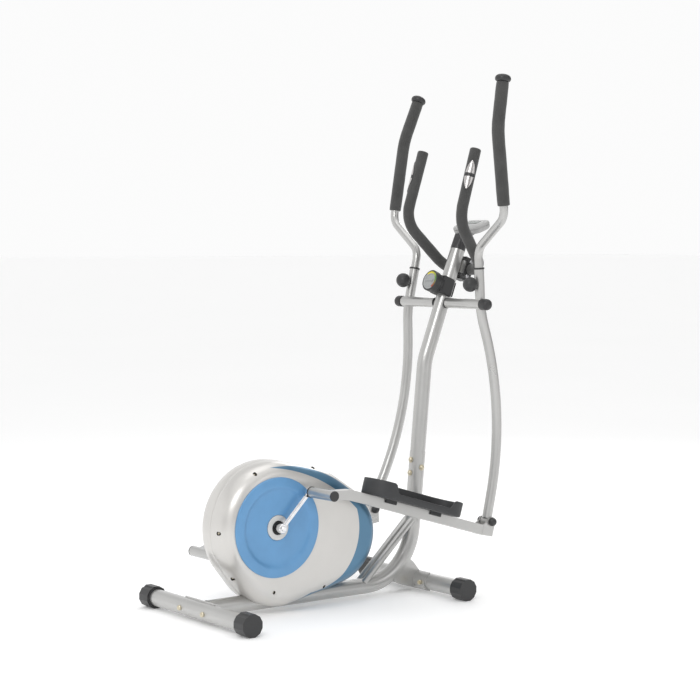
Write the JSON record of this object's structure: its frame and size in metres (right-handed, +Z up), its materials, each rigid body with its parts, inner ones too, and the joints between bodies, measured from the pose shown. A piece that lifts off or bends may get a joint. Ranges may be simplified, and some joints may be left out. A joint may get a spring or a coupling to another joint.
{
  "type": "elliptical trainer",
  "caption": "Rear drive elliptical trainer: a flywheel housing turns a crank that moves pedal bars and swinging handles on a bent mast with fixed bars and a small console.",
  "frame": {"origin": "on the floor, under the middle of the machine's box", "axes": "+X forward towards the console, +Y to the user's left, +Z up"},
  "size_m": [1.1092, 0.66, 1.5603],
  "materials": {
    "frame_paint": "gloss",
    "housing": "satin",
    "blue_plastic": "satin",
    "silver_plastic": "satin",
    "black_plastic": "matte",
    "pedal_plastic": "matte",
    "foam": "matte",
    "zinc": "satin",
    "steel": "satin",
    "chrome": "polished",
    "cast_iron": "matte",
    "belt": "matte",
    "display": "polished",
    "magnet_steel": "matte"
  },
  "bodies": {
    "frame": {"main_frame": "frame_paint", "drive_bracket": "magnet_steel", "rear_stabiliser": "frame_paint", "front_stabiliser": "frame_paint", "rear_end_caps": "black_plastic", "front_end_caps": "black_plastic", "frame_bolts": "zinc", "mast": "frame_paint", "housing_left": "housing", "housing_right": "housing", "disc_left": "blue_plastic", "disc_right": "blue_plastic", "hub_rings": "silver_plastic", "housing_screws": "steel", "crank_bearings": "steel", "flywheel_axle": "steel", "drive_belt": "belt", "swing_axle": "steel", "axle_caps": "black_plastic", "handlebar": "steel", "fixed_grip_left": "foam", "fixed_grip_right": "foam", "pulse_sensors": "chrome", "clamp_cover": "black_plastic", "console_bracket": "black_plastic", "console_back": "silver_plastic", "console_front": "silver_plastic", "console_lens": "display", "tension_housing": "black_plastic"},
    "crank": {"crank_axle": "steel", "crank_arm_left": "chrome", "crank_arm_right": "chrome", "drive_pulley": "black_plastic"},
    "flywheel": {"flywheel": "cast_iron"},
    "magnet_arm": {"magnet_arm": "magnet_steel"},
    "tension_knob": {"tension_knob": "black_plastic"},
    "console_button": {"console_button": "blue_plastic"},
    "swing_left": {"swing_arm_left": "frame_paint", "swing_bushes_left": "black_plastic", "handle_tube_left": "frame_paint", "handle_grip_left": "foam", "grip_cap_left": "black_plastic"},
    "lock_knob_left": {"lock_knob_left": "black_plastic"},
    "pedal_bar_left": {"pedal_bar_left": "frame_paint", "pedal_bushes_left": "black_plastic", "pedal_left": "pedal_plastic", "pedal_bolts_left": "zinc"},
    "swing_right": {"swing_arm_right": "frame_paint", "swing_bushes_right": "black_plastic", "handle_tube_right": "frame_paint", "handle_grip_right": "foam", "grip_cap_right": "black_plastic"},
    "lock_knob_right": {"lock_knob_right": "black_plastic"},
    "pedal_bar_right": {"pedal_bar_right": "frame_paint", "pedal_bushes_right": "black_plastic", "pedal_right": "pedal_plastic", "pedal_bolts_right": "zinc"}
  },
  "joints": [
    {"name": "crank_turn", "type": "hinge", "parent": "frame", "child": "crank", "pos_m": [-0.3045, 0, 0.254], "axis": [0, 1, 0], "continuous": true},
    {"name": "flywheel_turn", "type": "hinge", "parent": "frame", "child": "flywheel", "pos_m": [-0.0825, 0, 0.207], "axis": [0, 1, 0], "continuous": true},
    {"name": "swing_right_turn", "type": "hinge", "parent": "frame", "child": "swing_right", "pos_m": [0.3705, -0.17, 0.878], "axis": [0, 1, 0], "range_deg": [-3.2, 19.2]},
    {"name": "swing_left_turn", "type": "hinge", "parent": "frame", "child": "swing_left", "pos_m": [0.3705, 0.17, 0.878], "axis": [0, 1, 0], "range_deg": [-19.2, 3.2]},
    {"name": "pedal_bar_right_turn", "type": "hinge", "parent": "swing_right", "child": "pedal_bar_right", "pos_m": [0.40903, -0.17, 0.21712], "axis": [0, 1, 0], "range_deg": [-19.2, 3.2]},
    {"name": "pedal_bar_left_turn", "type": "hinge", "parent": "swing_left", "child": "pedal_bar_left", "pos_m": [0.22515, 0.17, 0.23215], "axis": [0, 1, 0], "range_deg": [-3.2, 19.2]},
    {"name": "tension_knob_turn", "type": "hinge", "parent": "frame", "child": "tension_knob", "pos_m": [0.38804, 0, 0.923], "axis": [-0.9317, 0, 0.3633], "range_deg": [0, 270]},
    {"name": "magnet_arm_turn", "type": "hinge", "parent": "frame", "child": "magnet_arm", "pos_m": [0.0026, -0.02, 0.1405], "axis": [0, 1, 0], "range_deg": [0, 5]},
    {"name": "lock_knob_right_turn", "type": "hinge", "parent": "swing_right", "child": "lock_knob_right", "pos_m": [0.37488, -0.17, 0.94036], "axis": [-0.9983, 0, -0.0582], "range_deg": [0, 360]},
    {"name": "lock_knob_left_turn", "type": "hinge", "parent": "swing_left", "child": "lock_knob_left", "pos_m": [0.39192, 0.17, 0.93673], "axis": [-0.9756, 0, 0.2196], "range_deg": [0, 360]},
    {"name": "console_button_press", "type": "slide", "parent": "frame", "child": "console_button", "axis": [0.342, 0, -0.9397], "range_m": [0, 0.0012], "stiffness_N_per_m": 800}
  ],
  "couplings": [
    {"joint": "flywheel_turn", "follows": "crank_turn", "ratio": 5.6},
    {"joint": "swing_left_turn", "follows": "swing_right_turn", "ratio": -1},
    {"joint": "pedal_bar_right_turn", "follows": "swing_right_turn", "ratio": -1},
    {"joint": "pedal_bar_left_turn", "follows": "swing_right_turn", "ratio": 1},
    {"joint": "magnet_arm_turn", "follows": "tension_knob_turn", "ratio": 0.018519}
  ]
}
